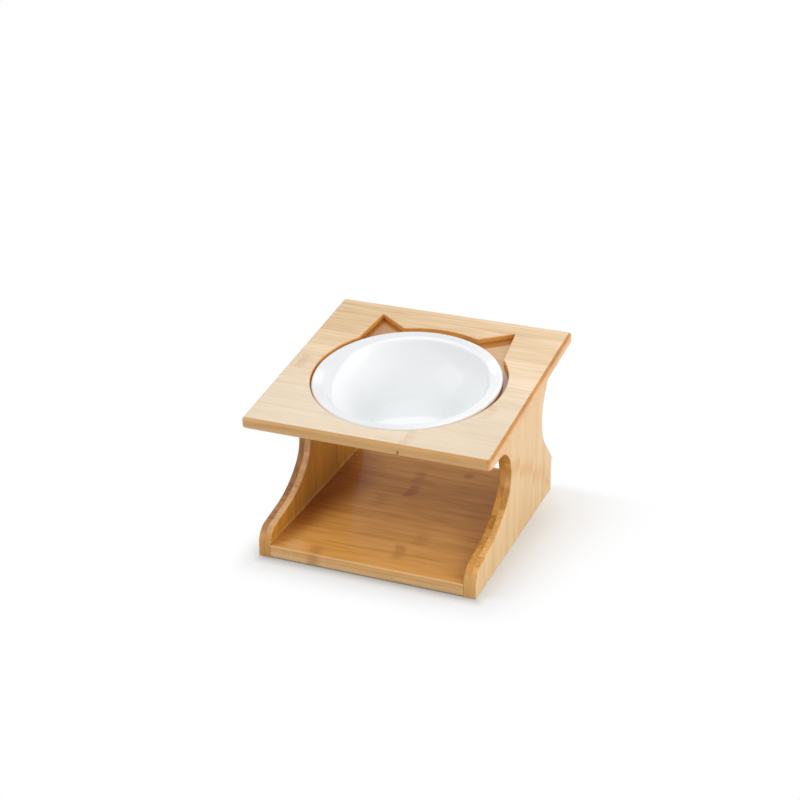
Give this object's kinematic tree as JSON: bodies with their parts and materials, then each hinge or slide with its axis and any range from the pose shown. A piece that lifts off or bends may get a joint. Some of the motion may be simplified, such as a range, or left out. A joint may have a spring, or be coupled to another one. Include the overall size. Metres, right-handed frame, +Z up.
{
  "type": "raised pet bowl stand",
  "caption": "Sloping bamboo stand with drawn-in side panels that holds a lift-out glazed ceramic pet bowl in an eared recess at a raised height.",
  "frame": {"origin": "on the floor, under the middle of the overall box, which is the middle of the top board", "axes": "+X to the object's right as seen from the front, +Y to the back, where the board is higher, +Z up"},
  "size_m": [0.2, 0.1996, 0.14],
  "materials": {
    "bamboo": "laminated bamboo strips under clear semi-gloss lacquer",
    "glazed_ceramic": "smooth glossy white glaze",
    "dowel_wood": "plain turned wood, glued"
  },
  "bodies": {
    "stand": {"top_board": "bamboo", "left_side_panel": "bamboo", "right_side_panel": "bamboo", "base_board": "bamboo", "left_top_dowels": "dowel_wood", "right_top_dowels": "dowel_wood", "left_base_dowels": "dowel_wood", "right_base_dowels": "dowel_wood"},
    "bowl": {"bowl": "glazed_ceramic"}
  },
  "joints": [
    {"name": "bowl_lift", "type": "slide", "parent": "stand", "child": "bowl", "axis": [0, -0.1063, 0.9943], "range_m": [0, 0.08]}
  ]
}
